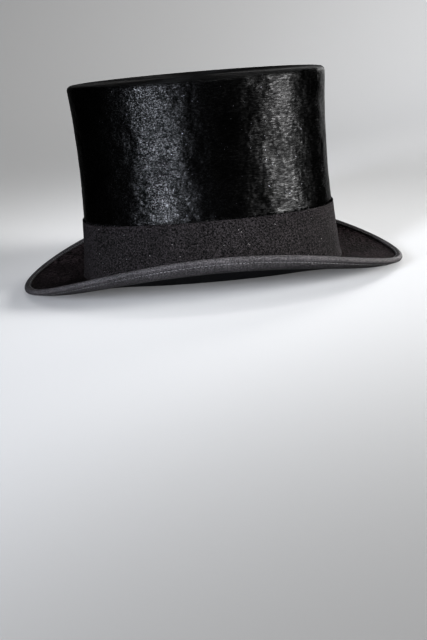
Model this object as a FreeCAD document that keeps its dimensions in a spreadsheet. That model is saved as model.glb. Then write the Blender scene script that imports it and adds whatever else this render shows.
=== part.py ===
import FreeCAD, Part
import math
import os

# A silk plush top hat, built up the way a hatter builds it: goss (shellacked muslin)
# shells, covers over them, a bound and curled brim, a cloth band, a leather sweatband
# and a satin lining.
# Millimetres, +Z up. The wearer's front is -Y and the wearer's left is +X. The origin is
# on the plane that the brim rests on, under the middle of the hat.

DIMENSIONS = {
    # Crown. The side shell's outer face is an oval at each level, of half length
    # waist_half_length + flare * (z - waist_height)^2, and narrower by oval_drop.
    "crown_height": 152.5,
    "waist_height": 91.2,
    "waist_half_length": 98.2,
    "flare": 0.00069,
    "oval_drop": 18,
    "crown_lean": 1.6,
    "shell_thickness": 1.6,
    "plush_thickness": 1.2,
    "rim_radius": 2.4,
    "tip_inset": 4,
    # Brim. Its mid surface meets the crown on a cylinder that runs from back to front;
    # what stands on the brim outside the crown is trimmed to a slightly tighter one.
    "junction_radius": 532,
    "outer_junction_radius": 470,
    "brim_width": 49,
    "side_narrowing": 1.4,
    "curl_length": 11.2,
    "front_slope": -5,
    "side_slope": 22.7,
    "front_turn": 14,
    "side_turn": 59,
    "brim_shell_thickness": 2.2,
    "brim_cover_thickness": 0.45,
    "binding_thickness": 0.6,
    "binding_under_width": 10.5,
    "binding_top_width": 3,
    "binding_seam_inset": 1.2,
    "rest_height": 5.92,
    # Hat band, on the outside.
    "band_height": 46.7,
    "band_top_radius": 890,
    "band_thickness": 1.1,
    "band_lap_width": 22,
    "band_lap_thickness": 2,
    # Inside.
    "robbin_thickness": 0.5,
    "robbin_height": 14,
    "lining_thickness": 0.4,
    "lining_tip_gap": 0.8,
    "tape_thickness": 0.4,
    "tape_height": 9,
    "sweatband_thickness": 1,
    "sweatband_height": 42,
    "sweatband_seam_rise": 3,
    "reed_radius": 0.9,
    "reed_rise": 0.4,
    "label_half_length": 32,
    "label_half_width": 24,
    "paper_thickness": 0.3,
    "ticket_radius": 7,
    "ticket_level": 34,
    "ribbon_width": 6,
    "bow_level": 17,
    "thread_radius": 0.25,
    "stitch_length": 3,
    "stitch_pitch": 6,
    # The glue line between two layers.
    "gap": 0.1,
}
UP = FreeCAD.Vector(0, 0, 1)

# The crown blocks start at FOOT, below the junction, and are trimmed there. Each is lofted
# through its oval there and those at these shares of its height.
FOOT = -8
LOFT_SHARES = (0.22, 0.5, 0.78, 1)
SADDLE_LENGTH = 400  # the trimming cylinders reach well past the hat
COLUMN_REACH = 9  # so does the column that parts the tip from the side, above and below
STRIP_DROP = "20"  # blocks for strips round the foot of the crown stop this far short of the tip

doc = FreeCAD.newDocument("TopHat")
sheet = doc.addObject("Spreadsheet::Sheet", "Sheet")
for row, (name, value) in enumerate(DIMENSIONS.items(), start=1):
    sheet.set("A%d" % row, name)
    sheet.set("B%d" % row, str(value))
    sheet.setAlias("B%d" % row, name)
doc.recompute()
size = {name: float(sheet.get(name)) for name in DIMENSIONS}
nodes = []


def sized(expression):
    """An expression on the sheet, written here with the bare names of its cells."""
    for name in sorted(DIMENSIONS, key=len, reverse=True):
        expression = expression.replace("#" + name, "Sheet." + name)
    return expression


def node(label, thing):
    """Names a finished sub-part and stands it on the resting plane."""
    thing.Label = label
    thing.setExpression("Placement.Base.z", sized("#rest_height"))
    nodes.append(thing)


def shape_node(label, shape):
    """A sub-part whose shape comes from the formulas below."""
    thing = doc.addObject("Part::Feature", "made_" + label)
    thing.Shape = shape
    node(label, thing)


def join(kind, name, base, tool):
    """A Part::Cut, Part::Common or Part::Fuse of two objects."""
    thing = doc.addObject(kind, name)
    thing.Base = base
    thing.Tool = tool
    return thing


def box(name, length, width, height, place, turn=0):
    """A Part::Box whose sides are expressions, centred on place and turned about +Z."""
    thing = doc.addObject("Part::Box", name)
    for side, value in (("Length", length), ("Width", width), ("Height", height)):
        thing.setExpression(side, sized(value))
    doc.recompute()
    middle = FreeCAD.Vector(thing.Length.Value, thing.Width.Value, thing.Height.Value) * 0.5
    rotation = FreeCAD.Rotation(UP, turn)
    thing.Placement = FreeCAD.Placement(place - rotation.multVec(middle), rotation)
    return thing


# ------------------------------------------------------------ crown family
# Each layer of the crown lies between two blocks, solids like a hatter's block.


def crown_oval(name, level, grow, at_level=None):
    """The crown's oval at a level, grown outwards from the shell's outer face by grow."""
    shape_level = at_level or level
    half = sized("#waist_half_length + #flare * ((%s) - #waist_height)^2 + %s" % (shape_level, grow))
    oval = doc.addObject("Part::Ellipse", name)
    oval.Placement.Rotation = FreeCAD.Rotation(UP, 90)
    oval.setExpression("MajorRadius", half)
    oval.setExpression("MinorRadius", half + sized(" - #oval_drop"))
    oval.setExpression("Placement.Base.y", sized("#crown_lean * (%s) / #crown_height" % shape_level))
    oval.setExpression("Placement.Base.z", sized(level))
    return oval


def loft(name, sections):
    body = doc.addObject("Part::Loft", name)
    body.Sections = sections
    body.Solid = True
    return body


def block(name, grow, drop="0", rim=None):
    """The crown grown by grow, with its flat tip lowered by drop and its rim rounded."""
    top = "#crown_height - (%s)" % drop
    levels = [str(FOOT)] + ["(%s) * %g" % (top, share) for share in LOFT_SHARES]
    sections = [crown_oval("%s_oval_%d" % (name, i), level, grow) for i, level in enumerate(levels)]
    body = loft(name, sections)
    if rim is None:
        return body
    doc.recompute()
    rounded = doc.addObject("Part::Fillet", name + "_rounded")
    rounded.Base = body
    highest = body.Shape.BoundBox.ZMax
    for number, edge in enumerate(body.Shape.Edges, start=1):
        if highest - edge.BoundBox.ZMin < 0.001:
            rounded.Edges = [(number, rim, rim)]
    return rounded


def saddle(name, radius, height, clearance="0"):
    """A cylinder along Y whose lowest line is at height; its inside lies above the saddle."""
    cylinder = doc.addObject("Part::Cylinder", name)
    cylinder.Height = SADDLE_LENGTH
    cylinder.setExpression("Radius", sized("%s - (%s)" % (radius, clearance)))
    cylinder.Placement = FreeCAD.Placement(
        FreeCAD.Vector(0, SADDLE_LENGTH / 2, 0), FreeCAD.Rotation(FreeCAD.Vector(1, 0, 0), 90)
    )
    cylinder.setExpression("Placement.Base.z", sized("%s + %s" % (radius, height)))
    return cylinder


def tip_column(name, grow):
    """An upright oval column that parts the flat tip from the side."""
    top = "#crown_height"
    ends = []
    for end, reach in (("low", -COLUMN_REACH), ("high", COLUMN_REACH)):
        ends.append(crown_oval("%s_%s" % (name, end), "%s + %d" % (top, reach), grow, top))
    return loft(name, ends)


def layer(name, outer, inner, foot, roof=None):
    """A ring between two blocks, above the saddle foot and below the saddle roof."""
    ring = join("Part::Cut", name + "_ring", outer, inner)
    ring = join("Part::Common", name + "_footed", ring, foot)
    if roof:
        ring = join("Part::Cut", name + "_roofed", ring, roof)
    return ring


half_shell = "#brim_shell_thickness / 2"
on_cover = half_shell + " + #brim_cover_thickness + #gap"
plush_face = block("plush_face", "#plush_thickness", "0", size["rim_radius"] + size["plush_thickness"])
shell_face = block("shell_face", "0", "#plush_thickness", size["rim_radius"])
shell_inside = block("shell_inside", "-#shell_thickness", "#plush_thickness + #shell_thickness")

# Crown shells: the side with its turned-in lip, and the tip set in the lip.
shell_foot = saddle("shell_foot", "#junction_radius", "0", half_shell + " + #gap")
side_column = tip_column("side_column", "-#tip_inset")
disc_column = tip_column("disc_column", "-#tip_inset - #gap")
wall = layer("crown_wall", shell_face, shell_inside, shell_foot)
node("crown_side_shell", join("Part::Cut", "side_shell", wall, side_column))
node("crown_tip_shell", join("Part::Common", "tip_shell", wall, disc_column))

# Plush covers, with their seam on top of the rim.
cover_foot = saddle("cover_foot", "#outer_junction_radius", on_cover)
cover_inside = block("cover_inside", "#gap / 2", "#plush_thickness - #gap / 2", size["rim_radius"])
cover = layer("plush_cover", plush_face, cover_inside, cover_foot)
node("plush_side_cover", join("Part::Cut", "side_plush", cover, side_column))
node("plush_tip_cover", join("Part::Common", "tip_plush", cover, disc_column))

# Hat band: a strip of cloth whose end laps over at the wearer's left.
band_foot = saddle("band_foot", "#outer_junction_radius", on_cover + " + #gap")
band_roof = saddle("band_roof", "#band_top_radius", "#band_height")
band_inside = block("band_inside", "#plush_thickness + #gap")
band_outside = block("band_outside", "#plush_thickness + #gap + #band_thickness")
lap_outside = block("lap_outside", "#plush_thickness + #gap + #band_lap_thickness")
strip = layer("band_strip", band_outside, band_inside, band_foot, band_roof)
lap_ring = layer("lap", lap_outside, band_inside, band_foot, band_roof)
lap_side = FreeCAD.Vector(size["waist_half_length"], 0, size["band_height"] / 2)
lap_box = box("lap_box", "#band_height", "#band_lap_width", "#band_height * 2", lap_side)
lap = join("Part::Common", "lap_end", lap_ring, lap_box)
node("hat_band", join("Part::Fuse", "band_with_lap", strip, lap))

# Inside the crown, from the shell inwards: robbin, lining, reed tape, sweatband.
depth = "-#shell_thickness - #gap"
robbin_foot = saddle("robbin_foot", "#junction_radius", "0", half_shell + " + #gap")
robbin_roof = saddle("robbin_roof", "#junction_radius", "#robbin_height")
robbin_outside = block("robbin_outside", depth, STRIP_DROP)
depth += " - #robbin_thickness"
robbin_inside = block("robbin_inside", depth, STRIP_DROP)
node("robbin_strip", layer("robbin", robbin_outside, robbin_inside, robbin_foot, robbin_roof))

tip_drop = "#plush_thickness + #shell_thickness + #lining_tip_gap"
lining_foot = saddle("lining_foot", "#junction_radius", "0", half_shell + " + 4 * #gap")
lining_outside = block("lining_outside", depth + " - #gap", tip_drop)
depth += " - #gap - #lining_thickness"
lining_inside = block("lining_inside", depth, tip_drop + " + #lining_thickness")
lining_wall = layer("lining", lining_outside, lining_inside, lining_foot)
node("lining_side", join("Part::Cut", "side_lining", lining_wall, side_column))
node("lining_tip", join("Part::Common", "tip_lining", lining_wall, disc_column))

tape_foot = saddle("tape_foot", "#junction_radius", "0", "#reed_rise + #gap")
tape_roof = saddle("tape_roof", "#junction_radius", "#tape_height")
tape_outside = block("tape_outside", depth + " - #gap", STRIP_DROP)
depth += " - #gap - #tape_thickness"
tape_inside = block("tape_inside", depth, STRIP_DROP)
node("reed_tape", layer("tape", tape_outside, tape_inside, tape_foot, tape_roof))

sweatband_roof = saddle("sweatband_roof", "#junction_radius", "#sweatband_height")
sweatband_outside = block("sweatband_outside", depth + " - #gap", STRIP_DROP)
leather_face = depth + " - #gap - #sweatband_thickness"
sweatband_inside = block("sweatband_inside", leather_face, STRIP_DROP)
leather = layer("leather", sweatband_outside, sweatband_inside, tape_foot, sweatband_roof)
node("sweatband", leather)

# ------------------------------------------------------------ formulas for surfaces

LAYERS_IN = (
    size["shell_thickness"] + size["robbin_thickness"] + size["lining_thickness"]
    + size["tape_thickness"] + 4 * size["gap"]
)
LEATHER_IN = LAYERS_IN + size["sweatband_thickness"]


def junction_height(x):
    """The height of the brim's mid surface where it meets the crown."""
    radius = size["junction_radius"]
    return radius - math.sqrt(radius ** 2 - x ** 2)


def crown_point(angle, level, grow):
    """A point on the crown; angle 0 is the back and a quarter turn is the left side."""
    half = size["waist_half_length"] + size["flare"] * (level - size["waist_height"]) ** 2 + grow
    lean = size["crown_lean"] * level / size["crown_height"]
    return FreeCAD.Vector(
        (half - size["oval_drop"]) * math.sin(angle), half * math.cos(angle) + lean, level
    )


def on_junction(angle, rise, grow):
    """A point on the crown at a height above the junction."""
    level = 0
    for _ in range(4):  # the oval there depends a little on its own level
        level = junction_height(crown_point(angle, level, grow).x)
    return crown_point(angle, level + rise, grow)


def brim_section(angle, across):
    """Out, up and tilt of the brim's mid surface, across mm from the crown.

    The brim runs straight at first, then rolls up on an arc: a little at the front and
    back, nearly upright at the sides. Its straight part is a little shorter at the sides.
    """
    side = math.sin(angle) ** 2
    slope = math.radians(size["front_slope"] + (size["side_slope"] - size["front_slope"]) * side)
    turn = math.radians(size["front_turn"] + (size["side_turn"] - size["front_turn"]) * side)
    straight = size["brim_width"] - size["curl_length"]
    radius = size["curl_length"] / turn
    run = min(across, straight) * (1 - size["side_narrowing"] * side / straight)
    tilt = slope + max(0, across - straight) / radius
    out = run * math.cos(slope) + radius * (math.sin(tilt) - math.sin(slope))
    rise = run * math.sin(slope) + radius * (math.cos(slope) - math.cos(tilt))
    return out, rise, tilt


def brim_place(angle, out, rise):
    """The point out and up from the junction oval, square to it in plan."""
    foot = on_junction(angle, 0, 0)
    half_long = size["waist_half_length"] + size["flare"] * size["waist_height"] ** 2
    half_short = half_long - size["oval_drop"]
    normal = FreeCAD.Vector(math.sin(angle) / half_short, math.cos(angle) / half_long, 0)
    normal.normalize()
    return foot + normal * out + UP * rise


def brim_point(angle, across, lift):
    """A point lift above the brim's mid surface, square to it."""
    out, rise, tilt = brim_section(angle, across)
    return brim_place(angle, out - lift * math.sin(tilt), rise + lift * math.cos(tilt))


def binding_point(angle, along, lift):
    """A point on the binding's path: the under leg, round the brim's edge, the top leg."""
    bend = math.pi * EDGE_RADIUS
    under = size["binding_under_width"]
    if along <= under:
        return brim_point(angle, size["brim_width"] - under + along, -lift)
    if along >= under + bend:
        return brim_point(angle, size["brim_width"] - (along - under - bend), lift)
    out, rise, tilt = brim_section(angle, size["brim_width"])
    heading = tilt + math.pi * ((along - under) / bend - 0.5)
    return brim_place(angle, out + lift * math.cos(heading), rise + lift * math.sin(heading))


HALF_STEPS = 36  # places round each half of the hat where a surface is pinned to its formula


def face_of(point, rows, lift, start):
    """A smooth face over half a turn from the angle start, through the formula's points."""
    angles = [start + math.pi * i / HALF_STEPS for i in range(HALF_STEPS + 1)]
    surface = Part.BSplineSurface()
    surface.interpolate([[point(angle, row, lift) for row in rows] for angle in angles])
    return surface


def solid_of(faces):
    shell = Part.Compound(faces)
    shell.sewShape()
    solid = Part.Solid(shell.Shells[0])
    if solid.Volume < 0:
        solid.reverse()
    return solid


def skin(point, rows, low, high):
    """A closed ring between the lifts low and high of a formula's surface."""
    faces = []
    for start in (0, math.pi):
        pair = [face_of(point, rows, lift, start) for lift in (low, high)]
        faces += [surface.toShape() for surface in pair]
        spans = [surface.bounds() for surface in pair]
        for end in (2, 3):
            edges = [surface.vIso(span[end]).toShape() for surface, span in zip(pair, spans)]
            faces.append(Part.makeRuledSurface(edges[0], edges[1]))
    return solid_of(faces)


def even(first, last, step):
    """Evenly spaced numbers from first to last, about step apart."""
    count = max(3, round((last - first) / step))
    return [first + (last - first) * i / count for i in range(count + 1)]


# ------------------------------------------------------------ brim family

HALF_SHELL = size["brim_shell_thickness"] / 2
HALF_BRIM = HALF_SHELL + size["brim_cover_thickness"]
EDGE_RADIUS = HALF_BRIM + size["binding_thickness"] / 2
ROW_PITCH = 2.5
rows = even(-size["shell_thickness"], size["brim_width"], ROW_PITCH)
cover_start = size["gap"] + HALF_BRIM * math.tan(math.radians(size["side_slope"]))
outer_rows = even(cover_start, size["brim_width"], ROW_PITCH)
shape_node("brim_shell", skin(brim_point, rows, -HALF_SHELL, HALF_SHELL))
lift = HALF_SHELL + size["gap"] / 2
shape_node("brim_top_cover", skin(brim_point, outer_rows, lift, HALF_BRIM))
shape_node("underbrim_cover", skin(brim_point, rows, -HALF_BRIM, -lift))

path_length = size["binding_under_width"] + math.pi * EDGE_RADIUS + size["binding_top_width"]
lift = HALF_BRIM + size["gap"]
binding_top = lift + size["binding_thickness"]
shape_node("brim_binding", skin(binding_point, even(0, path_length, 1), lift, binding_top))


def reed_point(angle, around, radius):
    """A point round the reed, just under the sweatband's lower edge and above the underbrim."""
    inside = -LAYERS_IN - size["gap"] - radius * math.cos(around)
    rise = size["reed_rise"] - size["reed_radius"] + radius * math.sin(around)
    return on_junction(angle, rise, inside)


faces = []
for start in (0, math.pi):
    for turn in (0, math.pi):
        around = even(turn, turn + math.pi, math.pi / 6)
        faces.append(face_of(reed_point, around, size["reed_radius"], start).toShape())
shape_node("sweatband_reed", solid_of(faces))

# ------------------------------------------------------------ thread


def stitch_angles(point, pitch):
    """Angles all round the hat that part the path point(angle) into lengths near pitch."""
    fine = 1440
    places = [point(2 * math.pi * i / fine) for i in range(fine + 1)]
    lengths = [0]
    for before, after in zip(places, places[1:]):
        lengths.append(lengths[-1] + (after - before).Length)
    count = round(lengths[-1] / pitch)
    angles = []
    for i, length in enumerate(lengths):
        if length >= len(angles) * lengths[-1] / count and len(angles) < count:
            angles.append(2 * math.pi * i / fine)
    return angles


def stitch(middle, direction):
    direction.normalize()
    length = size["stitch_length"]
    start = middle - direction * (length / 2)
    return Part.makeCylinder(size["thread_radius"], length, start, direction)


def stitched(point):
    """A row of stitches all round the hat, each lying along the path."""
    step = 0.01
    return Part.Compound([
        stitch(point(angle), point(angle + step) - point(angle - step))
        for angle in stitch_angles(point, size["stitch_pitch"])
    ])


PROUD = size["thread_radius"] + size["gap"] / 4  # a stitch lies on the cloth
seam_across = size["brim_width"] - size["binding_top_width"] + size["binding_seam_inset"]
binding_rows = [
    stitched(lambda angle: brim_point(angle, seam_across, side * (binding_top + PROUD)))
    for side in (1, -1)
]
shape_node("binding_stitches", Part.Compound(binding_rows))
seam_rise = size["sweatband_seam_rise"]
shape_node(
    "sweatband_stitches",
    stitched(lambda angle: on_junction(angle, seam_rise, -LEATHER_IN - PROUD)),
)
tip_seam_level = (
    size["crown_height"] - size["plush_thickness"] - size["shell_thickness"]
    - size["lining_tip_gap"] - size["lining_thickness"] - PROUD
)
tip_seam_inset = size["tip_inset"] + size["stitch_length"] / 2
shape_node(
    "lining_stitches",
    stitched(lambda angle: crown_point(angle, tip_seam_level, -tip_seam_inset)),
)

# The lap's end is sewn down along one upright row.
LAP_SEAM_SHARE = 0.85  # of the lap's half width
LAP_SEAM_MARGIN = 8  # above the junction and below the band's top
lap_angle = math.asin(size["band_lap_width"] / 2 / size["waist_half_length"])
lap_face = size["plush_thickness"] + size["gap"] + size["band_lap_thickness"] + PROUD
lap_stitches = []
for rise in even(LAP_SEAM_MARGIN, size["band_height"] - LAP_SEAM_MARGIN, size["stitch_pitch"]):
    middle = on_junction(math.pi / 2 - lap_angle * LAP_SEAM_SHARE, rise, lap_face)
    upwards = crown_point(math.pi / 2, middle.z + 1, 0) - crown_point(math.pi / 2, middle.z, 0)
    lap_stitches.append(stitch(middle, upwards))
shape_node("hat_band_stitches", Part.Compound(lap_stitches))

# ------------------------------------------------------------ bow, label and ticket

# The ribbon bow lies on the leather at the back, where the sweatband's ends meet. Its
# proportions are in ribbon widths.
KNOT_DEPTH = 0.5
LOOP_LENGTH, LOOP_DEPTH = 2.4, 0.4
HOLE_LENGTH, HOLE_DEPTH = 2, 0.2
TAIL_LENGTH, TAIL_WIDTH, TAIL_DEPTH = 2, 0.8, 0.1
LOOP_SHIFT, TAIL_SHIFT = 1.5, 0.7
BOW_LIFT, TAIL_LIFT = 0.35, 0.2


def on_leather(shift, inwards):
    """A point near the leather at the back, shift to the left, and the wall's heading."""
    half_short = size["waist_half_length"] - size["oval_drop"] - LEATHER_IN
    angle = math.asin(shift / half_short)
    place = crown_point(angle, size["bow_level"], -LEATHER_IN - inwards)
    heading = crown_point(angle + 0.01, size["bow_level"], -LEATHER_IN - inwards) - place
    return place, math.degrees(math.atan2(heading.y, heading.x))


def ribbon_box(name, length, depth, height, place, turn):
    """A box with its sides in ribbon widths."""
    sides = ["#ribbon_width * %g" % side for side in (length, depth, height)]
    return box("bow_" + name, *sides, place, turn)


ribbon = size["ribbon_width"]
bow_parts = [ribbon_box("knot", 1, KNOT_DEPTH, 1, *on_leather(0, ribbon * BOW_LIFT))]
for name, side in (("left", 1), ("right", -1)):
    place, turn = on_leather(side * ribbon * LOOP_SHIFT, ribbon * BOW_LIFT)
    loop = ribbon_box("loop_" + name, LOOP_LENGTH, LOOP_DEPTH, 1, place, turn)
    hole = ribbon_box("hole_" + name, HOLE_LENGTH, HOLE_DEPTH, 2, place, turn)
    bow_parts.append(join("Part::Cut", "bow_open_loop_" + name, loop, hole))
    place, turn = on_leather(side * ribbon * TAIL_SHIFT, ribbon * TAIL_LIFT)
    place -= UP * ribbon * TAIL_LENGTH / 2
    bow_parts.append(
        ribbon_box("tail_" + name, TAIL_WIDTH, TAIL_DEPTH, TAIL_LENGTH, place, turn)
    )
bow = doc.addObject("Part::MultiFuse", "bow")
bow.Shapes = bow_parts
node("sweatband_bow", bow)

# A blank label under the middle of the tip lining, and a blank ticket on the leather.
label_oval = doc.addObject("Part::Ellipse", "label_oval")
label_oval.Placement.Rotation = FreeCAD.Rotation(UP, 90)
label_oval.setExpression("MajorRadius", sized("#label_half_length"))
label_oval.setExpression("MinorRadius", sized("#label_half_width"))
label_oval.Placement.Base = FreeCAD.Vector(0, size["crown_lean"], 0)
label_oval.setExpression(
    "Placement.Base.z",
    sized("#crown_height - (%s) - #lining_thickness - #gap - #paper_thickness" % tip_drop),
)
label = doc.addObject("Part::Extrusion", "label")
label.Base = label_oval
label.Dir = UP
label.setExpression("LengthFwd", sized("#paper_thickness"))
label.Solid = True
node("tip_label", label)

ticket = doc.addObject("Part::Cylinder", "ticket")
ticket.setExpression("Radius", sized("#ticket_radius"))
ticket.setExpression("Height", sized("#paper_thickness"))
level = size["ticket_level"]
leather_point = crown_point(math.pi / 2, level, -LEATHER_IN)
wall_line = crown_point(math.pi / 2, level + 1, -LEATHER_IN) - leather_point
inward = FreeCAD.Vector(-wall_line.z, 0, wall_line.x).normalize()
ticket.Placement = FreeCAD.Placement(
    leather_point + inward * (size["paper_thickness"] + size["gap"]), FreeCAD.Rotation(UP, inward)
)
# The ticket lies at its own slant, so a compound round it takes the rest height.
ticket_stand = doc.addObject("Part::Compound", "ticket_stand")
ticket_stand.Links = [ticket]
node("size_ticket", ticket_stand)

# ------------------------------------------------------------ check and write

doc.recompute()
for thing in doc.Objects:
    if "Invalid" in thing.State or "Error" in thing.State:
        raise RuntimeError("%s didn't recompute: %s" % (thing.Name, thing.State))
os.makedirs("parts", exist_ok=True)
for thing in nodes:
    if thing.Shape.isNull() or not thing.Shape.isValid() or thing.Shape.Volume <= 0:
        raise RuntimeError("%s has no valid solid" % thing.Label)
for thing in nodes:
    thing.Shape.exportStep("parts/%s.step" % thing.Label)
    extent = thing.Shape.BoundBox
    print("%-20s %3d solids %10.1f mm3  z %7.2f to %7.2f" % (
        thing.Label, len(thing.Shape.Solids), thing.Shape.Volume, extent.ZMin, extent.ZMax))
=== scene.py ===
import math

import bpy
import numpy as np
from mathutils import Matrix, Vector, noise


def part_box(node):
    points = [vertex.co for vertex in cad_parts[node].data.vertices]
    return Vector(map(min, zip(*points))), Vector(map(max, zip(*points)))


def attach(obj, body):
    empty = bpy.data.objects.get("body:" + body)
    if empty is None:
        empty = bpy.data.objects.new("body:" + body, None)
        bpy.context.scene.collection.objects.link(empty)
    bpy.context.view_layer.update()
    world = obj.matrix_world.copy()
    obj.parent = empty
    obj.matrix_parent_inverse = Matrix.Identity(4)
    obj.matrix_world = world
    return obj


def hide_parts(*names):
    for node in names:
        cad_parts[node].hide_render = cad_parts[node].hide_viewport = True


# A silk plush top hat, resting on a pale studio floor. Metres, in the frame of the model:
# +Z up, the wearer's front is -Y and the wearer's left is +X.

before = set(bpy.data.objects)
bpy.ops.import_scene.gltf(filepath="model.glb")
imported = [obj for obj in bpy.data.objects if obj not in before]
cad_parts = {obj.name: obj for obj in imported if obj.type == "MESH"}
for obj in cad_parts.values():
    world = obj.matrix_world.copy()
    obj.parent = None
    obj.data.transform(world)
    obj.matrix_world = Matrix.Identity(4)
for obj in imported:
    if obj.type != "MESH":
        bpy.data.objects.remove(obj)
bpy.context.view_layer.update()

# ------------------------------------------------------------ sizes

# The crown's oval at a level has the half length WAIST_HALF + FLARE * (level - WAIST)^2.
# Levels count from where the brim's mid surface meets the crown at the front and back.
CROWN_HEIGHT = 0.1525
WAIST = 0.0912
WAIST_HALF = 0.0982
FLARE = 0.69
OVAL_DROP = 0.018
LEAN = 0.0016
JUNCTION_RADIUS = 0.532
BRIM_WIDTH = 0.049
SIDE_NARROWING = 0.0014
CURL_LENGTH = 0.0112
FRONT_SLOPE, SIDE_SLOPE = math.radians(-5), math.radians(22.7)
FRONT_TURN, SIDE_TURN = math.radians(14), math.radians(59)
HALF_SHELL = 0.0011
HALF_BRIM = 0.00155
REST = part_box("plush_tip_cover")[1].z - CROWN_HEIGHT

# How far each layer of the crown reaches, from the shell's outer face.
GAP = 0.0001
PLUSH, PLUSH_FOOT = 0.0012, 0.0019
RIM_RADIUS = 0.0036
TIP_INSET = 0.004
SHELL = 0.0016
LINING_OUT = -0.0023
TAPE_OUT = -0.0028
LEATHER_OUT, LEATHER_IN = -0.0033, -0.0043
SWEATBAND_FOOT, SWEATBAND_HEIGHT = 0.0005, 0.042
SWEATBAND_SEAM = 0.003
TAPE_TOP, TAPE = 0.009, 0.0004
REED_RADIUS, REED_TOP = 0.0009, 0.0004
BAND_HEIGHT = 0.0467
BAND_TOP_RADIUS = 0.89
BAND_IN, BAND_OUT = 0.0013, 0.0024
BAND_FOOT, BAND_FOOT_SIDE_RISE = 0.0016, 0.0009
LAP_HALF_WIDTH, LAP_OUT = 0.011, 0.0032
BINDING_IN, BINDING_OUT = HALF_BRIM + GAP, HALF_BRIM + GAP + 0.0006
UNDER_LEG, TOP_LEG = 0.0105, 0.003
BINDING_SEAM = TOP_LEG - 0.0012
BINDING_THREAD_LIFT = BINDING_OUT + 0.00005
SATIN = 0.0004
TIP_LINING = CROWN_HEIGHT - 0.0036
BOW_LEVEL, BOW_RIBBON = 0.017, 0.006

# The blank label under the tip and the blank ticket on the leather.
LABEL_HALF_LONG, LABEL_HALF_WIDE = 0.032, 0.024
TICKET_RADIUS, TICKET_LEVEL = 0.007, 0.034
PAPER, CLEAR = 0.0003, 0.0001


def crown(angle, level, grow):
    """Points on the crown; angle 0 is the back and a quarter turn is the left side."""
    half = WAIST_HALF + FLARE * (level - WAIST) ** 2 + grow
    x = (half - OVAL_DROP) * np.sin(angle)
    y = half * np.cos(angle) + LEAN * level / CROWN_HEIGHT
    return np.stack(np.broadcast_arrays(x, y, level + REST), -1)


def saddle(x, radius):
    return radius - np.sqrt(radius ** 2 - x ** 2)


def junction(angle, grow=0.0):
    """The level at which the brim's mid surface meets the crown grown by grow."""
    level = np.zeros_like(angle)
    for _ in range(4):
        level = saddle(crown(angle, level, grow)[..., 0], JUNCTION_RADIUS)
    return level


def band_top(angle):
    return BAND_HEIGHT + saddle(crown(angle, BAND_HEIGHT, BAND_OUT)[..., 0], BAND_TOP_RADIUS)


def brim_section(angle, across):
    """Out, up and tilt of the brim's mid surface, across metres from the crown."""
    side = np.sin(angle) ** 2
    slope = FRONT_SLOPE + (SIDE_SLOPE - FRONT_SLOPE) * side
    turn = FRONT_TURN + (SIDE_TURN - FRONT_TURN) * side
    straight = BRIM_WIDTH - CURL_LENGTH
    radius = CURL_LENGTH / turn
    run = np.minimum(across, straight) * (1 - SIDE_NARROWING * side / straight)
    tilt = slope + np.maximum(0, across - straight) / radius
    out = run * np.cos(slope) + radius * (np.sin(tilt) - np.sin(slope))
    rise = run * np.sin(slope) + radius * (np.cos(slope) - np.cos(tilt))
    return out, rise, tilt


def brim_place(angle, out, rise):
    angle, out, rise = np.broadcast_arrays(angle, out, rise)
    foot = crown(angle, junction(angle), 0.0)
    half = WAIST_HALF + FLARE * WAIST ** 2
    normal = np.stack([np.sin(angle) / (half - OVAL_DROP), np.cos(angle) / half, 0 * angle], -1)
    normal /= np.linalg.norm(normal, axis=-1, keepdims=True)
    return foot + normal * out[..., None] + np.stack([0 * rise, 0 * rise, rise], -1)


def brim(angle, across, lift):
    """Points lift above the brim's mid surface, square to it."""
    out, rise, tilt = brim_section(angle, across)
    return brim_place(angle, out - lift * np.sin(tilt), rise + lift * np.cos(tilt))


def bound_edge(angle, along, lift):
    """Points on the binding's path: the under leg, round the brim's edge, the top leg."""
    bend = math.pi * (BINDING_IN + BINDING_OUT) / 2
    under = np.minimum(along, UNDER_LEG)
    top = np.maximum(along - UNDER_LEG - bend, 0)
    turned = np.clip((along - UNDER_LEG) / bend, 0, 1)
    out, rise, tilt = brim_section(angle, BRIM_WIDTH - (UNDER_LEG - under) - top)
    heading = tilt + math.pi * (turned - 0.5)
    return brim_place(angle, out + lift * np.cos(heading), rise + lift * np.sin(heading))


# ------------------------------------------------------------ mesh helpers


def add_mesh(name, points, faces):
    mesh = bpy.data.meshes.new(name)
    mesh.from_pydata([tuple(p) for p in points], [], faces)
    mesh.validate()
    mesh.polygons.foreach_set("use_smooth", [True] * len(mesh.polygons))
    piece = bpy.data.objects.new(name, mesh)
    bpy.context.scene.collection.objects.link(piece)
    return piece


def outward(piece):
    """Turns a closed piece's faces outwards."""
    mesh = piece.data
    mesh.calc_loop_triangles()
    co = np.empty(len(mesh.vertices) * 3)
    mesh.vertices.foreach_get("co", co)
    tri = np.empty(len(mesh.loop_triangles) * 3, int)
    mesh.loop_triangles.foreach_get("vertices", tri)
    a, b, c = np.moveaxis(co.reshape(-1, 3)[tri.reshape(-1, 3)], 1, 0)
    if (a * np.cross(b, c)).sum() < 0:
        mesh.flip_normals()
    return piece


def join(first, *others):
    """Joins pieces of one cloth into the first."""
    points, faces = [], []
    for piece in (first, *others):
        start = len(points)
        points += [v.co.copy() for v in piece.data.vertices]
        faces += [[start + i for i in face.vertices] for face in piece.data.polygons]
    name = first.name
    for piece in (first, *others):
        bpy.data.objects.remove(piece)
    return add_mesh(name, points, faces)


def quads(columns, rows):
    """Faces between neighbours of a grid that closes on itself in both directions."""
    index = np.arange(columns * rows).reshape(columns, rows)
    after, along = np.roll(index, -1, 0), np.roll(index, -1, 1)
    return np.stack([index, along, np.roll(after, -1, 1), after], -1)


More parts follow.
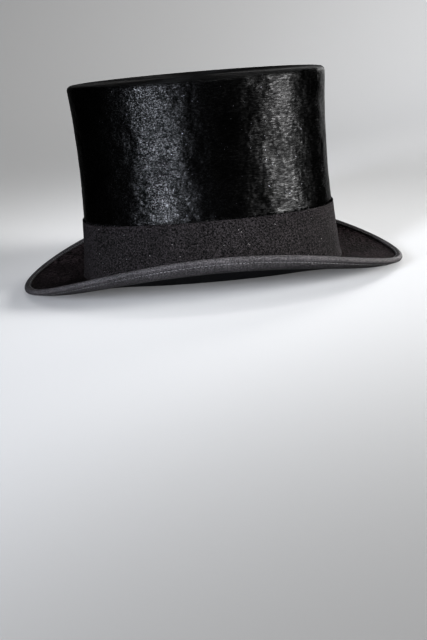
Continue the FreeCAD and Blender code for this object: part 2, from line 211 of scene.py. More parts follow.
def ring(name, grid):
    """A closed ring from a grid of points: round the hat, and round its own section."""
    faces = quads(*grid.shape[:2]).reshape(-1, 4).tolist()
    return outward(add_mesh(name, grid.reshape(-1, 3), faces))


def tube(name, grid):
    """A closed body from rings of points that follow one another, capped at both ends."""
    steps, rows = grid.shape[:2]
    faces = quads(steps, rows)[:-1].reshape(-1, 4).tolist()
    faces.append(list(range(rows)))
    faces.append([(steps - 1) * rows + i for i in reversed(range(rows))])
    return outward(add_mesh(name, grid.reshape(-1, 3), faces))


def section(start, end, low, high, count, under=6, turn=3, unit=1.0):
    """A strip's section: places along it and lifts, round a loop with rounded edges.

    The places are in metres, or in parts of a metre of which there are unit in each.
    """
    radius, middle = (high - low) / 2, (high + low) / 2
    inset = radius * unit
    face = np.linspace(start + inset, end - inset, count)
    back = np.linspace(end - inset, start + inset, under)
    bend = np.linspace(math.pi / 2, -math.pi / 2, turn + 2)[1:-1]
    along = np.concatenate([
        face, end - inset + inset * np.cos(bend), back, start + inset - inset * np.cos(bend),
    ])
    lift = np.concatenate([
        np.full(count, high), middle + radius * np.sin(bend),
        np.full(under, low), middle - radius * np.sin(bend),
    ])
    return along[None], lift[None]


def around(columns):
    return (2 * math.pi * np.arange(columns) / columns)[:, None]


def rough(points, scale, depth):
    """Smooth random heights over points, the same every time."""
    heights = [noise.noise(Vector(p)) for p in points.reshape(-1, 3) / scale]
    return depth * np.array(heights).reshape(points.shape[:-1])


def finish_piece(piece, material, slot, *nodes):
    """Gives a piece its material, hangs it on the root body and hides the nodes of the model that it stands
    for.
    """
    piece.data.materials.append(material)
    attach(piece, "root")
    if nodes:
        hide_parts(*nodes)
    return piece


# ------------------------------------------------------------ material helpers


class Shader:
    """A Principled material and the few node chains that these materials share."""

    def __init__(self, name, **sockets):
        self.material = bpy.data.materials.new(name)
        self.material.use_nodes = True
        self.tree = self.material.node_tree
        self.bsdf = self.tree.nodes["Principled BSDF"]
        for socket, value in sockets.items():
            self.bsdf.inputs[socket.replace("_", " ")].default_value = value
        self.where = self.node("ShaderNodeTexCoord").outputs["Object"]

    def node(self, kind, **settings):
        made = self.tree.nodes.new(kind)
        for name, value in settings.items():
            setattr(made, name, value)
        return made

    def put(self, given, socket):
        """Links a socket, or sets its value."""
        if isinstance(given, (int, float)):
            socket.default_value = given
        elif isinstance(given, tuple):
            socket.default_value = given if len(given) == len(socket.default_value) else (*given, 1)
        else:
            self.tree.links.new(given, socket)

    def value(self, operation, *inputs):
        made = self.node("ShaderNodeMath", operation=operation)
        for socket, given in zip(made.inputs, inputs):
            self.put(given, socket)
        return made.outputs[0]

    def stretched(self, scale, turn=0.0):
        """The place on the object, turned about X and stretched, in 1/metre."""
        made = self.node("ShaderNodeMapping")
        self.put(self.where, made.inputs["Vector"])
        made.inputs["Rotation"].default_value[0] = turn
        made.inputs["Scale"].default_value = scale
        return made.outputs[0]

    def noise(self, place, detail=3, rough=0.55, warp=0.0):
        """Noise at a place, or with that many features to the metre."""
        if isinstance(place, (int, float)):
            place = self.stretched((place,) * 3)
        made = self.node("ShaderNodeTexNoise")
        self.put(place, made.inputs["Vector"])
        made.inputs["Scale"].default_value = 1
        made.inputs["Detail"].default_value = detail
        made.inputs["Roughness"].default_value = rough
        made.inputs["Distortion"].default_value = warp
        return made.outputs["Fac"]

    def ramp(self, factor, *stops):
        """A colour ramp through (place, grey or colour) stops."""
        made = self.node("ShaderNodeValToRGB")
        self.put(factor, made.inputs[0])
        elements = made.color_ramp.elements
        while len(elements) < len(stops):
            elements.new(0.5)
        for element, (place, colour) in zip(elements, stops):
            element.position = place
            if isinstance(colour, (int, float)):
                colour = (colour,) * 3
            element.color = (*colour, 1)
        return made.outputs[0]

    def mix(self, factor, first, second, blend="MIX"):
        made = self.node("ShaderNodeMix", data_type="RGBA", blend_type=blend)
        self.put(factor, made.inputs[0])
        self.put(first, made.inputs[6])
        self.put(second, made.inputs[7])
        return made.outputs[2]

    def bump(self, height, depth, normal=None):
        made = self.node("ShaderNodeBump")
        made.inputs["Strength"].default_value = 1
        made.inputs["Distance"].default_value = depth
        self.put(height, made.inputs["Height"])
        if normal is not None:
            self.put(normal, made.inputs["Normal"])
        return made.outputs[0]

    def specks(self, scale, share, size=0.22):
        """1 on small round specks in that share of the cells, of which scale fit a metre."""
        cell = self.node("ShaderNodeTexVoronoi")
        self.put(self.stretched((scale,) * 3), cell.inputs["Vector"])
        cell.inputs["Scale"].default_value = 1
        near = self.value("LESS_THAN", cell.outputs["Distance"], size)
        draw = self.node("ShaderNodeSeparateColor")
        self.put(cell.outputs["Color"], draw.inputs[0])
        chosen = self.value("LESS_THAN", draw.outputs[0], share)
        return self.value("MULTIPLY", near, chosen)

    def use(self, **sources):
        for socket, source in sources.items():
            self.put(source, self.bsdf.inputs[socket.replace("_", " ")])
        return self.material


def plush_material(name, on_tip=False):
    """Silk plush: black dyed fibres, whose gloss has the dye's own depth and no rim glow.

    The nap is brushed round the hat. It lies in smooth strokes at the front; towards the back
    its colour takes a finer, stronger speckle, a painted glint of single hairs.
    """
    shade = Shader(name, Metallic=1.0, Anisotropic=0.8, Specular_Tint=(0.42, 0.42, 0.42, 1))
    shade.bsdf.inputs["Anisotropic Rotation"].default_value = 0.25
    tangent = shade.node("ShaderNodeTangent", direction_type="RADIAL", axis="Z")
    shade.put(tangent.outputs[0], shade.bsdf.inputs["Tangent"])
    if on_tip:
        fine, smooth, coarse = [shade_rings(shade, *counts) for counts in ((14, 1000), (9, 700), (6, 330))]
    else:
        brushed = math.radians(-7)
        fine = shade.stretched((950, 950, 1450), brushed)
        smooth = shade.stretched((230, 230, 1250), brushed)
        coarse = shade.stretched((130, 130, 420), brushed)
    # Towards the back, by the front mask below, the hairs take this finer, stronger speckle: painted glints
    # of single hairs.
    painted_glint_hairs = shade.noise(fine, detail=2, rough=0.7, warp=0.3)
    lying = shade.value("MULTIPLY_ADD", shade.noise(smooth, detail=2, rough=0.6, warp=0.3), 0.35, 0.33)
    split = shade.node("ShaderNodeSeparateXYZ")
    shade.put(shade.where, split.inputs[0])
    front = shade.value("MULTIPLY_ADD", split.outputs[1], -12.0, 0.5)
    front = shade.ramp(front, (0.0, 0.0), (1.0, 1.0))
    hairs = shade.mix(front, painted_glint_hairs, lying)
    locks = shade.noise(coarse, detail=3, rough=0.65, warp=0.3)
    waves = shade.noise(42, detail=3, rough=0.6)
    # The tip's colours are darker than the side's: painted shade on the hat's top.
    if on_tip:
        colour = shade.ramp(hairs, (0.36, 0.001), (0.5, 0.005), (0.64, 0.024))
    else:
        colour = shade.ramp(hairs, (0.34, 0.0008), (0.5, 0.0075), (0.66, 0.042))
    clumps = shade.ramp(locks, (0.3, 0.45), (0.5, 0.8), (0.68, 0.9))
    colour = shade.mix(1.0, colour, clumps, "MULTIPLY")
    colour = shade.mix(1.0, colour, shade.ramp(waves, (0.34, 0.55), (0.55, 1.0)), "MULTIPLY")
    # Small bright specks, faintly blue: painted glints of hair ends.
    colour = shade.mix(shade.specks(520, 0.07, 0.16), colour, (0.085, 0.085, 0.095))
    roughness = shade.ramp(shade.mix(0.5, hairs, locks), (0.35, 0.6), (0.62, 0.44))
    normal = shade.bump(waves, 0.002)
    normal = shade.bump(locks, 0.0004, normal)
    normal = shade.bump(hairs, 0.00014, normal)
    return shade.use(Base_Color=colour, Roughness=roughness, Normal=normal)


def shade_rings(shade, turns, rings):
    """A place for noise that runs in rings round the hat's axis."""
    split = shade.node("ShaderNodeSeparateXYZ")
    shade.put(shade.where, split.inputs[0])
    x = shade.value("MULTIPLY", split.outputs[0], WAIST_HALF / (WAIST_HALF - OVAL_DROP))
    y = split.outputs[1]
    square = shade.value("ADD", shade.value("MULTIPLY", x, x), shade.value("MULTIPLY", y, y))
    radius = shade.value("SQRT", square)
    radius = shade.value("MAXIMUM", radius, 0.001)
    joined = shade.node("ShaderNodeCombineXYZ")
    for socket, part in zip(joined.inputs, (x, y)):
        shade.put(shade.value("MULTIPLY", shade.value("DIVIDE", part, radius), turns), socket)
    shade.put(shade.value("MULTIPLY", radius, rings), joined.inputs[2])
    return joined.outputs[0]


def cloth_material(name, dark, light, grain, depth, gloss=0.12, lint=0.0, patchy=0.7, **sockets):
    """A cloth with a fine grain in two shades, patchy over wider areas, with some lint."""
    shade = Shader(name, **sockets)
    shade.bsdf.inputs["Specular IOR Level"].default_value = gloss
    fine = shade.noise(grain, detail=3, rough=0.75)
    colour = shade.ramp(fine, (0.4, dark), (0.62, light))
    broad = shade.ramp(shade.noise(40, detail=3), (0.35, patchy), (0.65, 1.0))
    colour = shade.mix(1.0, colour, broad, "MULTIPLY")
    if lint:
        colour = shade.mix(shade.specks(520, lint, 0.16), colour, (0.13, 0.125, 0.12))
    return shade.use(Base_Color=colour, Normal=shade.bump(fine, depth))


def weave_material(name, dark, light, threads, depth, **sockets):
    """A plain weave, with that many threads to the metre both ways."""
    shade = Shader(name, **sockets)
    split = shade.node("ShaderNodeSeparateXYZ")
    shade.put(shade.where, split.inputs[0])
    warp = shade.value("SINE", shade.value("MULTIPLY", split.outputs[2], math.tau * threads))
    turn = shade.value("ARCTAN2", split.outputs[0], split.outputs[1])
    weft = shade.value("SINE", shade.value("MULTIPLY", turn, round(threads * WAIST_HALF)))
    cloth = shade.value("MULTIPLY_ADD", shade.value("MULTIPLY", warp, weft), 0.5, 0.5)
    stain = shade.noise(60, detail=4)
    colour = shade.ramp(shade.mix(0.4, stain, cloth), (0.3, dark), (0.7, light))
    return shade.use(Base_Color=colour, Normal=shade.bump(cloth, depth))


plush = plush_material("silk_plush")
tip_plush = plush_material("tip_plush", on_tip=True)
brim_cloth = cloth_material(
    "brim_cloth", dark=0.0002, light=(0.023, 0.018, 0.0186), grain=420, depth=0.0016, gloss=0.1,
    lint=0.01, patchy=0.4, Roughness=0.75, IOR=1.15,
)
# The cloth under the brim: its own black, set darker than the top's as painted shade under the brim.
under_cloth = cloth_material(
    "underbrim_cloth", dark=0.0016, light=(0.0042, 0.0046, 0.0058), grain=1500, depth=0.0002,
    gloss=0.04, Roughness=0.8,
)
band_cloth = cloth_material(
    "band_cloth", dark=0.001, light=(0.0165, 0.0148, 0.0152), grain=850, depth=0.001, gloss=0.1,
    lint=0.06, patchy=0.8, Roughness=0.9, IOR=1.2,
)
grosgrain = cloth_material(
    "grosgrain", dark=0.006, light=(0.037, 0.0343, 0.035), grain=1000, depth=0.0005, gloss=0.2,
    lint=0.01, patchy=0.8, Roughness=0.6, IOR=1.3,
)
# Waxed black thread: its lighter grain, up to 0.075, is painted sheen on its own dark 0.03.
black_thread = cloth_material(
    "black_thread", dark=0.03, light=0.075, grain=3000, depth=0.0001, gloss=0.5, Roughness=0.45,
)
light_thread = cloth_material(
    "light_thread", dark=(0.45, 0.38, 0.27), light=(0.6, 0.52, 0.4), grain=3000, depth=0.0001,
    gloss=0.3, Roughness=0.6,
)
leather = cloth_material(
    "leather", dark=(0.16, 0.066, 0.024), light=(0.26, 0.12, 0.05), grain=900, depth=0.0003, gloss=0.4,
    patchy=0.75, Roughness=0.45,
)
satin = cloth_material(
    "satin", dark=(0.46, 0.40, 0.29), light=(0.56, 0.50, 0.38), grain=500, depth=0.0002, gloss=0.5,
    patchy=0.9, Roughness=0.32,
)
ribbon = cloth_material(
    "ribbon", dark=(0.014, 0.012, 0.012), light=(0.03, 0.026, 0.026), grain=1800, depth=0.0001,
    gloss=0.5, Roughness=0.35,
)
cane = cloth_material(
    "cane", dark=(0.42, 0.27, 0.12), light=(0.6, 0.42, 0.2), grain=1000, depth=0.0002, gloss=0.4,
    Roughness=0.4,
)
oilcloth = cloth_material(
    "oilcloth", dark=(0.03, 0.02, 0.012), light=(0.06, 0.042, 0.026), grain=700, depth=0.0001,
    gloss=0.5, Roughness=0.35,
)
paper = cloth_material(
    "ticket_paper", dark=(0.62, 0.56, 0.42), light=(0.72, 0.67, 0.53), grain=900, depth=0.0001,
    gloss=0.2, Roughness=0.85,
)
label_silk = cloth_material(
    "label_silk", dark=(0.5, 0.42, 0.26), light=(0.62, 0.54, 0.36), grain=2000, depth=0.0001, gloss=0.5,
    Roughness=0.35,
)
goss = weave_material(
    "goss", dark=(0.12, 0.06, 0.02), light=(0.30, 0.18, 0.08), threads=900, depth=0.0002,
    Roughness=0.45,
)
linen = weave_material(
    "linen", dark=(0.32, 0.27, 0.19), light=(0.5, 0.44, 0.33), threads=1300, depth=0.0001,
    Roughness=0.9,
)

# ------------------------------------------------------------ crown


def plush_side():
    """The plush round the crown, rolled over the rim to its seam on the tip."""
    angle = around(420)
    foot = junction(angle, PLUSH) + PLUSH_FOOT
    turn = np.linspace(0, math.pi / 2, 9)[None, 1:]

    def face(grow, top, radius, rows):
        side = foot + (top - radius - foot) * np.linspace(0, 1, rows)[None]
        rim = top - radius + radius * np.sin(turn) + 0 * foot
        flat = np.linspace(grow - radius, -TIP_INSET, 4)[None, 1:] + 0 * foot
        level = np.concatenate([side, rim, top + 0 * flat], 1)
        rim_grow = grow - radius + radius * np.cos(turn) + 0 * foot
        return level, np.concatenate([grow + 0 * side, rim_grow, flat], 1)

    level, grow = face(PLUSH, CROWN_HEIGHT, RIM_RADIUS, 96)
    inner_level, inner_grow = face(GAP, CROWN_HEIGHT - PLUSH, RIM_RADIUS - PLUSH, 12)
    grid = crown(angle, level, grow)
    lift = rough(grid, 0.014, 0.00022) + rough(grid * [1, 1, 3], 0.006, 0.0001)
    grid = crown(angle, level, grow + lift)
    inner = crown(angle, inner_level, inner_grow)
    return ring("crown_plush", np.concatenate([grid, inner[:, ::-1]], 1))


def nap_over_band():
    """Locks of nap that stray over the band's top edge."""
    draw = np.random.default_rng(7)
    count = 1500
    angle = draw.uniform(0, math.tau, count)
    top = band_top(angle)
    root = top + draw.uniform(0.0003, 0.0016, count)
    drop = draw.uniform(-0.0002, 0.0014, count) * (1 + 0.8 * np.sin(angle * 3 + 1))
    sweep = draw.uniform(0.8, 2.6, count) * 0.001 / WAIST_HALF
    lengths = (0.0, 0.5, 0.98)
    grid = []
    for share in lengths:
        middle = angle + sweep * share
        level = root + (top - drop - root) * share
        grow = PLUSH - 0.0001 + (BAND_OUT - PLUSH + 0.0002) * share ** 0.7
        width = 0.00022 * (1 - 0.8 * share)
        corners = []
        for turn in (0, math.tau / 3, math.tau * 2 / 3):
            corners.append(crown(middle, level + width * math.cos(turn), grow + width * math.sin(turn)))
        grid.append(corners)
    points = np.array(grid).transpose(2, 0, 1, 3).reshape(-1, 3)
    faces = []
    for start in range(0, count * 9, 9):
        for low in (start, start + 3):
            for i in range(3):
                j = (i + 1) % 3
                faces.append([low + i, low + j, low + 3 + j, low + 3 + i])
        faces.append([start + 2, start + 1, start])
        faces.append([start + 6, start + 7, start + 8])
    return outward(add_mesh("nap", points, faces))


crown_plush = finish_piece(join(plush_side(), nap_over_band()), plush, "silk_plush", "plush_side_cover")


def plate(name, top, low, grow, rings, columns, dome=None):
    """A flat oval plate with a rounded edge, from its top level to its low level."""
    angle = around(columns)
    radius = (top - low) / 2
    half = WAIST_HALF + FLARE * (CROWN_HEIGHT - WAIST) ** 2 + grow - radius
    share = np.linspace(0.02, 1, rings)
    bend = np.linspace(math.pi / 2, -math.pi / 2, 6)[1:-1]
    shares = np.concatenate([share, np.ones(4), share[::-1]])
    swell = np.concatenate([0 * share, radius * np.cos(bend), 0 * share])
    level = np.concatenate([top + 0 * share, (top + low) / 2 + radius * np.sin(bend), low + 0 * share])
    x = ((half - OVAL_DROP) * shares + swell) * np.sin(angle)
    y = (half * shares + swell) * np.cos(angle) + LEAN
    z = level + REST + 0 * angle
    grid = np.stack([x, y, z], -1)
    if dome is not None:
        grid[..., 2] += dome(grid)
    return tube(name, grid.transpose(1, 0, 2))


tip = plate("tip_plush", CROWN_HEIGHT, CROWN_HEIGHT - PLUSH + GAP, -TIP_INSET - GAP, 40, 240,
            lambda grid: rough(grid, 0.02, 0.0002))
finish_piece(tip, tip_plush, "silk_plush", "plush_tip_cover")


def band_grid(angle, along, lift):
    foot = junction(angle, BAND_OUT) + BAND_FOOT + BAND_FOOT_SIDE_RISE * np.sin(angle) ** 2
    return crown(angle, foot + (band_top(angle) - foot) * along, lift)


def hat_band():
    angle = around(480)
    along, lift = section(0.0, 1.0, BAND_IN, BAND_OUT, 26, unit=1 / BAND_HEIGHT)
    grid = band_grid(angle, along, lift)
    lift = lift + rough(grid, 0.022, 0.00035) * (lift > (BAND_IN + BAND_OUT) / 2)
    flare = 0.0009 * np.clip(1 - along * 9, 0, 1) ** 2
    return ring("band", band_grid(angle, along, lift + flare))


def band_lap():
    """The band's end, lapped over its start at the wearer's left."""
    reach = math.asin(LAP_HALF_WIDTH / WAIST_HALF)
    left = math.pi / 2
    angle, lift = section(left - reach, left + reach, BAND_OUT, LAP_OUT, 14, unit=1 / WAIST_HALF)
    rise = np.linspace(0.02, 0.985, 24)[:, None]
    return tube("lap", band_grid(angle, rise, lift + 0.0002 * np.sin(rise * 7 + 1)))


band = finish_piece(join(hat_band(), band_lap()), band_cloth, "band_cloth", "hat_band")

# ------------------------------------------------------------ brim

columns = around(360)
start = GAP + HALF_BRIM * math.tan(SIDE_SLOPE)
along, lift = section(start, BRIM_WIDTH, HALF_SHELL + GAP / 2, HALF_BRIM, 44)
grid = brim(columns, along, lift)
lift = lift + rough(grid, 0.012, 0.00018) * (lift > HALF_SHELL + 0.0002)
brim_top = ring("brim_top", brim(columns, along, lift))
finish_piece(brim_top, brim_cloth, "brim_cloth", "brim_top_cover")
along, lift = section(-SHELL, BRIM_WIDTH, -HALF_BRIM, -HALF_SHELL - GAP / 2, 16, 40)
underbrim = ring("underbrim", brim(columns, along, lift))
finish_piece(underbrim, under_cloth, "underbrim_cloth", "underbrim_cover")


def binding():
    """Grosgrain folded over the edge; its ribs end in a scalloped selvage."""
    ribs, in_a_rib = 720, 3
    angle = around(ribs * in_a_rib)
    length = UNDER_LEG + math.pi * (BINDING_IN + BINDING_OUT) / 2 + TOP_LEG
    along, lift = section(0.0, length, BINDING_IN, BINDING_OUT, 22, under=5)
    rib = np.cos(angle * ribs)
    outer = lift > (BINDING_IN + BINDING_OUT) / 2
    from_edge = UNDER_LEG - along
    puckers = np.exp(-((from_edge - 0.0035) / 0.002) ** 2)
    puckers = 0.00012 * np.sin(angle * 95 + 2 * np.sin(angle * 7)) * puckers
    groove = 0.00022 * np.exp(-((from_edge - BINDING_SEAM) / 0.0007) ** 2)
    edge = np.exp(-along / 0.0006)
    along = along + 0.0006 * rib * edge
    return ring("edge_binding", bound_edge(angle, along, lift + (0.00014 * rib + puckers - groove) * outer))


edge_binding = finish_piece(binding(), grosgrain, "grosgrain", "brim_binding")

# ------------------------------------------------------------ thread


def stitches(name, path, pitch, length, thickness):
    """A row of stitches along path(angle), each a little arched thread end to end."""
    fine = np.linspace(0, math.tau, 2881)
    run = np.linalg.norm(np.diff(path(fine), axis=0), axis=1)
    reach = np.concatenate([[0], np.cumsum(run)])
    count = round(reach[-1] / pitch)
    share = np.linspace(-0.5, 0.5, 5)
    places = (np.arange(count) + 0.5)[:, None] * reach[-1] / count + share * length
    angle = np.interp(places % reach[-1], reach, fine)
    line = path(angle)
    ahead = path(angle + 0.001) - line
    ahead /= np.linalg.norm(ahead, axis=-1, keepdims=True)
    side = np.cross(ahead, np.array([0.3, 0.2, 1.0]))
    side /= np.linalg.norm(side, axis=-1, keepdims=True)
    up = np.cross(side, ahead)
    round_it = np.array([0.25, 0.85, 1.0, 0.85, 0.25])[None, :, None] * thickness / 2
    points = []
    for corner in range(6):
        turn = math.tau * corner / 6
        points.append(line + (side * math.cos(turn) + up * math.sin(turn)) * round_it)
    points = np.stack(points, 2)
    index = np.arange(count * 30).reshape(count, 5, 6)
    after = np.roll(index, -1, 2)
    walls = np.stack([index[:, :-1], after[:, :-1], after[:, 1:], index[:, 1:]], -1).reshape(-1, 4)
    ends = np.concatenate([index[:, 0, ::-1], index[:, -1]])
    return outward(add_mesh(name, points.reshape(-1, 3), walls.tolist() + ends.tolist()))


seam_across = BRIM_WIDTH - BINDING_SEAM
rows = []
for side in (1, -1):
    rows.append(stitches(
        "binding_thread", path=lambda angle: brim(angle, seam_across, side * BINDING_THREAD_LIFT),
        pitch=0.0027, length=0.002, thickness=0.00034,
    ))
finish_piece(join(*rows), black_thread, "black_thread", "binding_stitches")
leather_thread = stitches(
    "leather_thread",
    path=lambda angle: crown(angle, junction(angle, LEATHER_IN) + SWEATBAND_SEAM, LEATHER_IN),
    pitch=0.004, length=0.003, thickness=0.0004,
)
finish_piece(leather_thread, light_thread, "light_thread", "sweatband_stitches")
satin_thread = stitches(
    "satin_thread", path=lambda angle: crown(angle, TIP_LINING - SATIN, -TIP_INSET - 0.0015),
    pitch=0.004, length=0.0028, thickness=0.0003,
)
finish_piece(satin_thread, light_thread, "light_thread", "lining_stitches")


def lap_thread():
    """The upright row that holds the band's lapped end."""
    reach = math.asin(LAP_HALF_WIDTH / WAIST_HALF)
    made = []
    for rise in np.linspace(0.16, 0.84, 9):
        share = np.linspace(-1, 1, 5)[:, None]
        turn = around(6).T
        wide = 0.0002 * (1 - 0.6 * share ** 2)
        angle = math.pi / 2 - reach * 0.85 + wide * np.cos(turn) / WAIST_HALF
        lift = LAP_OUT + 0.0001 + wide * np.sin(turn)
        made.append(tube("lap_thread", band_grid(angle, rise + 0.024 * share, lift)))
    return join(*made)


finish_piece(lap_thread(), black_thread, "black_thread", "hat_band_stitches")

# ------------------------------------------------------------ inside

angle = around(320)
along, lift = section(SWEATBAND_FOOT, SWEATBAND_HEIGHT, LEATHER_IN, LEATHER_OUT, 5, under=18)
foot = junction(angle, LEATHER_OUT)
grid = crown(angle, foot + along, lift)
inner = lift < (LEATHER_IN + LEATHER_OUT) / 2
soft = rough(grid, 0.02, 0.0004) * inner * np.clip(along / 0.02 - 0.3, 0, 1)
join_line = 0.0005 * np.exp(-(np.sin(angle / 2) * 2 * WAIST_HALF / 0.0012) ** 2)
turned = 0.00025 * np.exp(-((along - SWEATBAND_HEIGHT + 0.004) / 0.0006) ** 2)
sweat_leather = ring("sweat_leather", crown(angle, foot + along, lift + (soft + join_line + turned) * inner))
finish_piece(sweat_leather, leather, "leather", "sweatband")

along, lift = section(SWEATBAND_FOOT, TAPE_TOP, TAPE_OUT - TAPE, TAPE_OUT, 8, turn=1)
tape = ring("oilcloth_tape", crown(angle, junction(angle, TAPE_OUT) + along, lift))
finish_piece(tape, oilcloth, "oilcloth", "reed_tape")

turn = around(10).T
grow = LEATHER_OUT - GAP - REED_RADIUS * np.cos(turn)
level = junction(angle, grow + 0 * angle) + REED_TOP - REED_RADIUS + REED_RADIUS * np.sin(turn)
finish_piece(ring("reed", crown(angle, level, grow)), cane, "cane", "sweatband_reed")


def lining():
    """The satin round the inside, gathered into its seam with the tip."""
    angle = around(720)
    foot = junction(angle, LINING_OUT) + 0.0015
    side = np.linspace(0, 1, 30)[None]
    low, high = LINING_OUT - SATIN, LINING_OUT
    inner_level = foot + (TIP_LINING - SATIN - foot) * side
    outer_level = foot + (TIP_LINING - foot) * side[:, ::5]
    lip = np.linspace(low, -TIP_INSET, 4)[None, 1:] + 0 * foot
    lip_out = np.linspace(-TIP_INSET, high, 3)[None, :-1] + 0 * foot
    level = np.concatenate([
        inner_level, TIP_LINING - SATIN + 0 * lip, TIP_LINING + 0 * lip_out, outer_level[:, ::-1],
    ], 1)
    grow = np.concatenate([low + 0 * inner_level, lip, lip_out, high + 0 * outer_level], 1)
    rise = np.clip((inner_level - 0.05) / 0.1, 0, 1)
    pleats = 0.5 + 0.5 * np.sin(angle * 88 + 3 * np.sin(angle * 5) + 4 * rise)
    grow[:, :30] -= (0.0011 * pleats * rise + 0.0003) * np.clip(1.4 * (1 - rise ** 8), 0, 1) * (rise > 0)
    return ring("satin_side", crown(angle, level, grow))


satin_side = finish_piece(lining(), satin, "satin", "lining_side")
satin_tip = plate(
    "satin_tip", TIP_LINING, TIP_LINING - SATIN, -TIP_INSET - GAP, 24, 240,
    lambda grid: rough(grid, 0.018, 0.0003),
)
finish_piece(satin_tip, satin, "satin", "lining_tip")


def patch(name, half_long, half_wide, thickness, place):
    """A thin oval patch with a stitched-looking raised edge, put in place by place()."""
    share = np.concatenate([np.linspace(0.02, 1, 16), np.linspace(1, 0.02, 8)])[:, None]
    upper = np.concatenate([np.ones(16), np.zeros(8)])[:, None]
    turn = around(72).T
    raised = 0.35 * np.exp(-((share - 0.9) / 0.03) ** 2)
    height = thickness * (upper + raised * upper)
    flat = np.stack([
        half_wide * share * np.cos(turn), half_long * share * np.sin(turn), height + 0 * turn,
    ], -1)
    return tube(name, place(flat))


def under_tip(flat):
    return np.array([0, LEAN, TIP_LINING - SATIN - 0.00015 + REST]) + flat * [1, 1, -1]


label = patch("label", LABEL_HALF_LONG, LABEL_HALF_WIDE, PAPER, under_tip)
finish_piece(label, label_silk, "label_silk", "tip_label")


def on_left_leather(flat):
    """The ticket's place, against the leather on the wearer's left."""
    left = np.array(math.pi / 2)
    seat = crown(left, TICKET_LEVEL, LEATHER_IN)
    up = crown(left, TICKET_LEVEL + 0.001, LEATHER_IN) - seat
    up /= np.linalg.norm(up)
    inward = np.array([-up[2], 0, up[0]])
    across = np.array([0, 1, 0])
    return seat + inward * CLEAR + flat[..., :1] * across + flat[..., 1:2] * up + flat[..., 2:] * inward


ticket = patch("ticket", TICKET_RADIUS, TICKET_RADIUS, PAPER, on_left_leather)
finish_piece(ticket, paper, "ticket_paper", "size_ticket")


def strap(name, line, half_wide, thickness):
    """A ribbon along line, points (left, inwards, up) from the bow's middle on the leather."""
    line = np.array(line)
    ahead = np.gradient(line, axis=0)
    across = np.stack([-ahead[:, 1], ahead[:, 0], 0 * ahead[:, 0]], -1)
    across /= np.linalg.norm(across, axis=-1, keepdims=True) + 1e-9
    corners = []
    for side, upward in ((-1, -1), (1, -1), (1, 0), (1, 1), (-1, 1), (-1, 0)):
        width = half_wide[:, None] * np.array([0, 0, upward])
        corners.append(line + across * side * thickness / 2 + width)
    local = np.stack(corners, 1)
    angle = np.arcsin(local[..., 0] / (WAIST_HALF - OVAL_DROP))
    return tube(name, crown(angle, BOW_LEVEL + local[..., 2], LEATHER_IN - local[..., 1]))


def bow():
    """Two loops, a knot and two tails of narrow ribbon."""
    parts = []
    t = np.linspace(0, 1, 28)
    for side in (1, -1):
        left = side * (0.0012 + 0.0128 * np.sin(math.pi * t) ** 0.8)
        inwards = 0.0017 + 0.0013 * np.cos(math.pi * t) * np.sin(math.pi * t) ** 0.5
        up = side * 0.0006 * np.sin(math.pi * t)
        wide = BOW_RIBBON / 2 * (0.55 + 0.45 * np.sin(math.pi * t) ** 0.5)
        parts.append(strap("loop", np.stack([left, inwards, up], -1), wide, 0.0004))
    t = np.linspace(-1, 1, 12)
    knot = np.stack([0.0022 * t, 0.0027 - 0.0011 * t ** 2, 0 * t], -1)
    parts.append(strap("knot", knot, 0.0027 + 0 * t, 0.0009))
    for side in (1, -1):
        t = np.linspace(0, 1, 14)
        left = side * (0.0007 + 0.0052 * t)
        drop = -0.0105 * t
        local = []
        for edge in (-1, 1):
            out = left + edge * 0.0022 * (0.6 + 0.4 * t)
            local.append(np.stack([out, drop + edge * side * 0.0012 * t], -1))
        inwards = 0.0009 - 0.0004 * t + 0.0003 * np.sin(t * 5)
        corners = []
        for edge, depth in ((0, 0), (1, 0), (1, 1), (0, 1)):
            place = local[edge]
            angle = np.arcsin(place[:, 0] / (WAIST_HALF - OVAL_DROP))
            corners.append(crown(angle, BOW_LEVEL + place[:, 1], LEATHER_IN - inwards - 0.0003 * depth))
        parts.append(tube("tail", np.stack(corners, 1)))
    return join(*parts)


finish_piece(bow(), ribbon, "ribbon", "sweatband_bow")

for name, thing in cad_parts.items():
    if not thing.hide_render:
        thing.data.materials.clear()
        thing.data.materials.append(linen if name == "robbin_strip" else goss)

# ------------------------------------------------------------ stage


def stage():
    """A pale floor that curves up into a wall all round, and glows a little by itself."""
    flat, bend, wall = 0.9, 1.7, 3.0
    turn = np.linspace(0, math.pi / 2, 32)[1:]
    radius = np.concatenate([np.linspace(0.1, flat, 8), flat + bend * np.sin(turn), [flat + bend]])
    height = np.concatenate([np.zeros(8), bend - bend * np.cos(turn), [wall]])
    angle = around(96)
    grid = np.stack(np.broadcast_arrays(radius * np.cos(angle), radius * np.sin(angle), height), -1)
    index = np.arange(grid[..., 0].size).reshape(grid.shape[:2])
    after = np.roll(index, -1, 0)
    faces = np.stack([index[:, :-1], index[:, 1:], after[:, 1:], after[:, :-1]], -1).reshape(-1, 4).tolist()
    faces.append(index[:, 0].tolist())
    made = add_mesh("studio_floor", grid.reshape(-1, 3), faces)
    grey = Shader("studio", Base_Color=(0.18, 0.18, 0.18, 1), Roughness=0.9)
    grey.bsdf.inputs["Emission Color"].default_value = (1, 1, 1, 1)
    grey.bsdf.inputs["Emission Strength"].default_value = 0.075
    grey.bsdf.inputs["Specular IOR Level"].default_value = 0.1
    made.data.materials.append(grey.material)


stage()


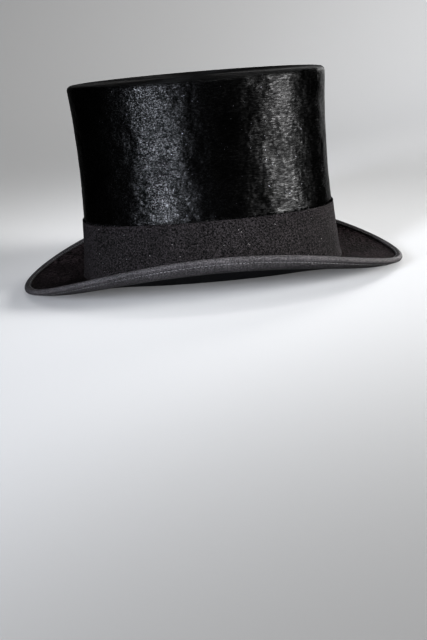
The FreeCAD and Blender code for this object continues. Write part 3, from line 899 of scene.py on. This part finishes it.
def softbox(
    name, azimuth, height, distance, width, tall, radiance, colour=(1, 1, 1), aim=(0, 0, 0.09), spread=180
):
    """A lamp panel; azimuth 0 is the wearer's right and 90 the front; angles in degrees.

    The radiance is a panel's with the full spread. A narrower one is brighter along its axis.
    """
    lamp = bpy.data.lights.new(name, "AREA")
    lamp.shape = "RECTANGLE"
    lamp.size, lamp.size_y = width, tall
    lamp.energy = radiance * math.pi * width * tall
    lamp.color = colour
    lamp.spread = math.radians(spread)
    thing = bpy.data.objects.new(name, lamp)
    turn = math.radians(azimuth)
    thing.location = (-math.cos(turn) * distance, -math.sin(turn) * distance, height)
    aim = Vector(aim) - thing.location
    thing.rotation_euler = aim.to_track_quat("-Z", "Y").to_euler()
    thing.visible_camera = False
    bpy.context.scene.collection.objects.link(thing)


softbox(
    "strip_back", azimuth=-33, height=0.38, distance=1.3, width=0.28, tall=0.5, radiance=9.5,
    colour=(0.87, 0.91, 1), spread=36,
)
softbox(
    "strip_front", azimuth=66, height=0.38, distance=1.3, width=0.66, tall=0.5, radiance=6.8, spread=36,
)
softbox("overhead", azimuth=180, height=2.5, distance=0.1, width=2.4, tall=2.4, radiance=0.55)
softbox(
    "far_fill", azimuth=140, height=0.38, distance=1.3, width=0.66, tall=0.5, radiance=1.4, spread=36,
)
softbox(
    "floor_wash", azimuth=0, height=2.2, distance=0.9, width=1.2, tall=1.2, radiance=0.3,
    aim=(-1.3, 0, 0), spread=80,
)
softbox(
    "floor_spot", azimuth=0, height=1.5, distance=0.72, width=0.3, tall=0.3, radiance=3,
    aim=(-0.72, 0, 0), spread=44,
)
softbox(
    "wall_wash", azimuth=120, height=2.3, distance=1.2, width=2.0, tall=0.8, radiance=9.0,
    aim=(1.6, -1.1, 0.1), spread=110,
)

world = bpy.data.worlds.new("studio")
bpy.context.scene.world = world
world.use_nodes = True
world.node_tree.nodes["Background"].inputs[0].default_value = (0.95, 0.96, 1, 1)
world.node_tree.nodes["Background"].inputs[1].default_value = 0.4
bpy.context.scene.view_settings.view_transform = "Standard"
bpy.context.scene.view_settings.look = "High Contrast"


def camera():
    """The camera stands on the wearer's right, a little above the tip, rolled slightly."""
    lens = bpy.data.cameras.new("camera")
    lens.lens, lens.sensor_width = 59.33, 36
    thing = bpy.data.objects.new("camera", lens)
    bpy.context.scene.collection.objects.link(thing)
    ahead = Vector((0.96282, -0.03085, -0.26839))
    thing.location = (-0.85237, 0.03068, 0.19543)
    roll = Matrix.Rotation(math.radians(-4.741), 4, "Z")
    thing.rotation_mode = "QUATERNION"
    thing.rotation_quaternion = ahead.to_track_quat("-Z", "Y") @ roll.to_quaternion()
    bpy.context.scene.camera = thing


camera()
